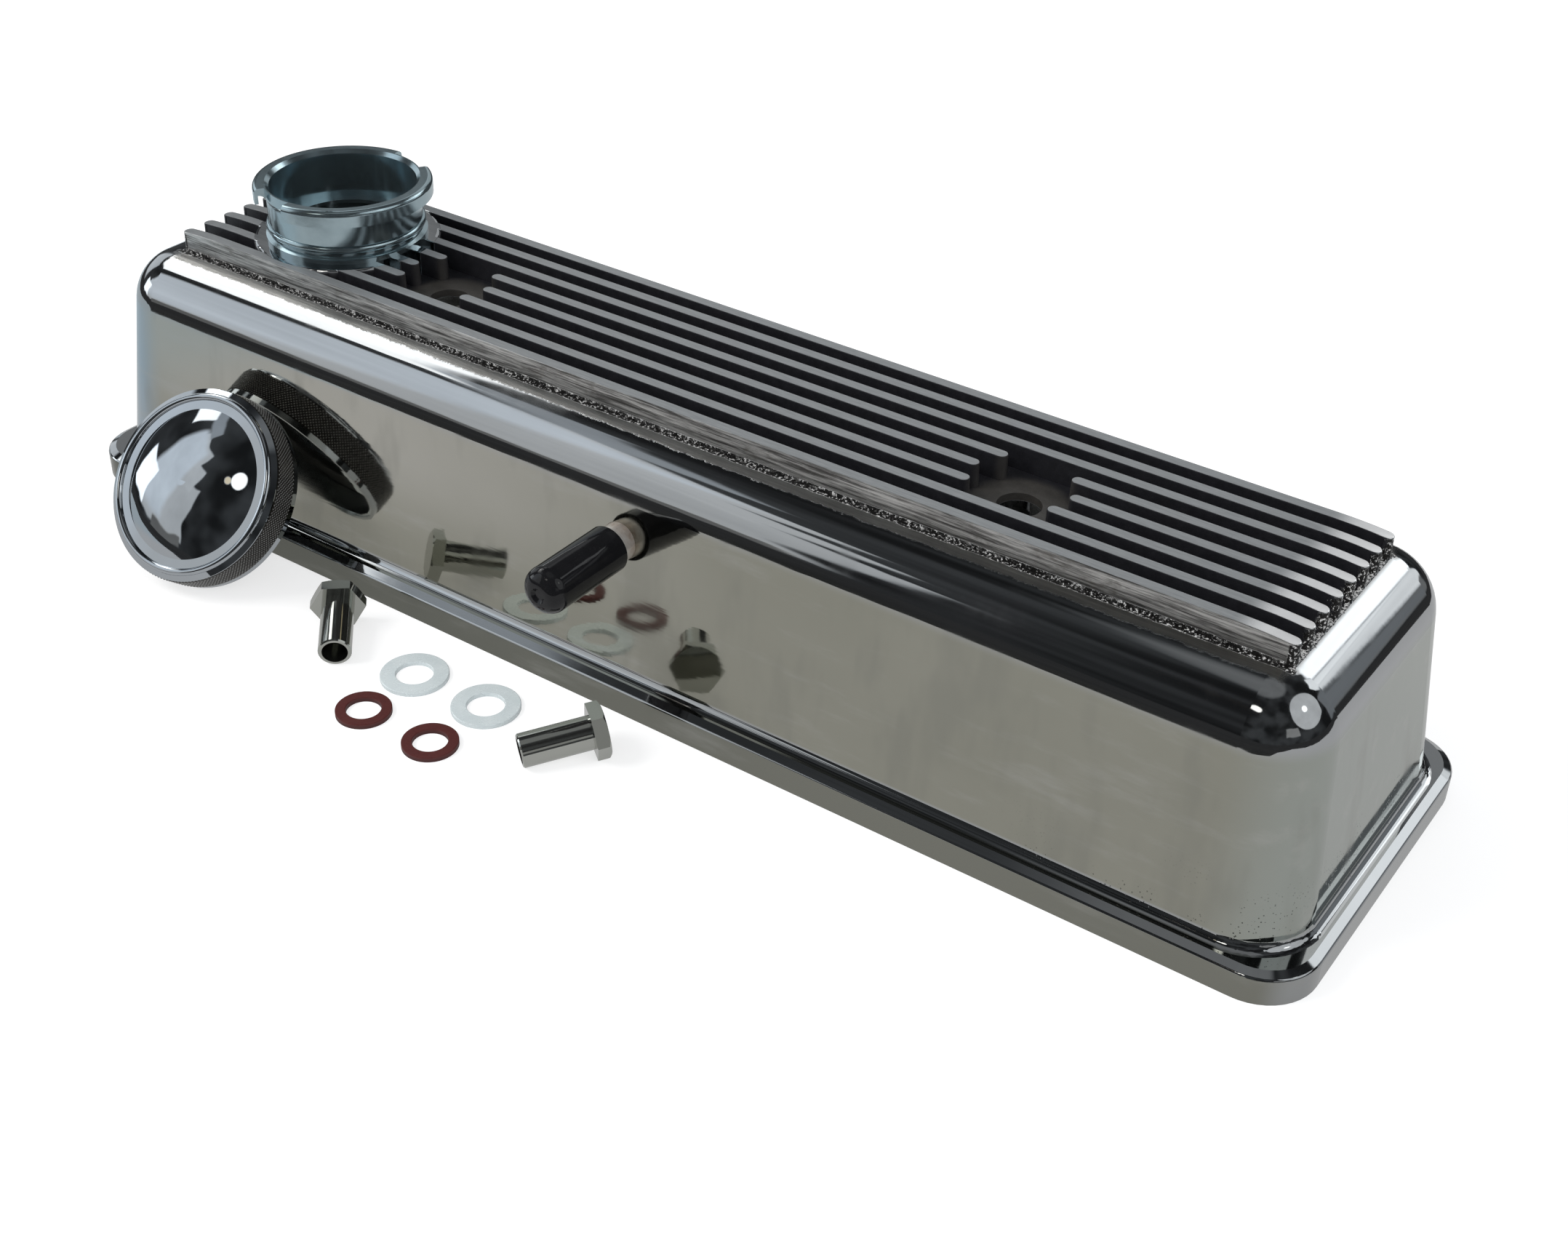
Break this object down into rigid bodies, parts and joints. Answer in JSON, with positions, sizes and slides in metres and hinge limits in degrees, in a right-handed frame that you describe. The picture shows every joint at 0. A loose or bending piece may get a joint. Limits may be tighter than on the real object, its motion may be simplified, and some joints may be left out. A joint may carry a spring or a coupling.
{
  "type": "engine valve cover",
  "caption": "Hollow ribbed aluminium valve cover with an oil filler neck and a capped vent tube, and with its filler cap, sleeve nuts and washers laid beside it.",
  "frame": {"origin": "centre of the gasket face, in its plane", "axes": "+Z away from the engine, +X along the cover's length away from the filler neck, -Y out of the side with the vent tube"},
  "size_m": [0.45, 0.1772, 0.1069],
  "materials": {
    "polished_aluminium": "mirror-polished casting with dark painted valleys between satin ribs",
    "zinc_steel": "bright zinc plate",
    "dull_steel": "dull plated tube",
    "chrome": "chrome plate",
    "black_vinyl": "glossy black dip-moulded vinyl",
    "seal_rubber": "matt black rubber",
    "red_fibre": "matt red vulcanised fibre"
  },
  "bodies": {
    "cover": {"cover_casting": "polished_aluminium", "filler_neck": "zinc_steel", "vent_tube": "dull_steel", "cap_shell": "chrome", "cap_lock_ring": "zinc_steel", "cap_seal": "seal_rubber", "sleeve_nut_left": "chrome", "sleeve_nut_right": "chrome", "plain_washer_left": "zinc_steel", "plain_washer_right": "zinc_steel", "fibre_washer_left": "red_fibre", "fibre_washer_right": "red_fibre"},
    "vent_cap": {"vent_tube_cap": "black_vinyl"}
  },
  "joints": [
    {"name": "vent_cap_pull", "type": "slide", "parent": "cover", "child": "vent_cap", "axis": [0, -1, 0], "range_m": [0, 0.03]}
  ]
}
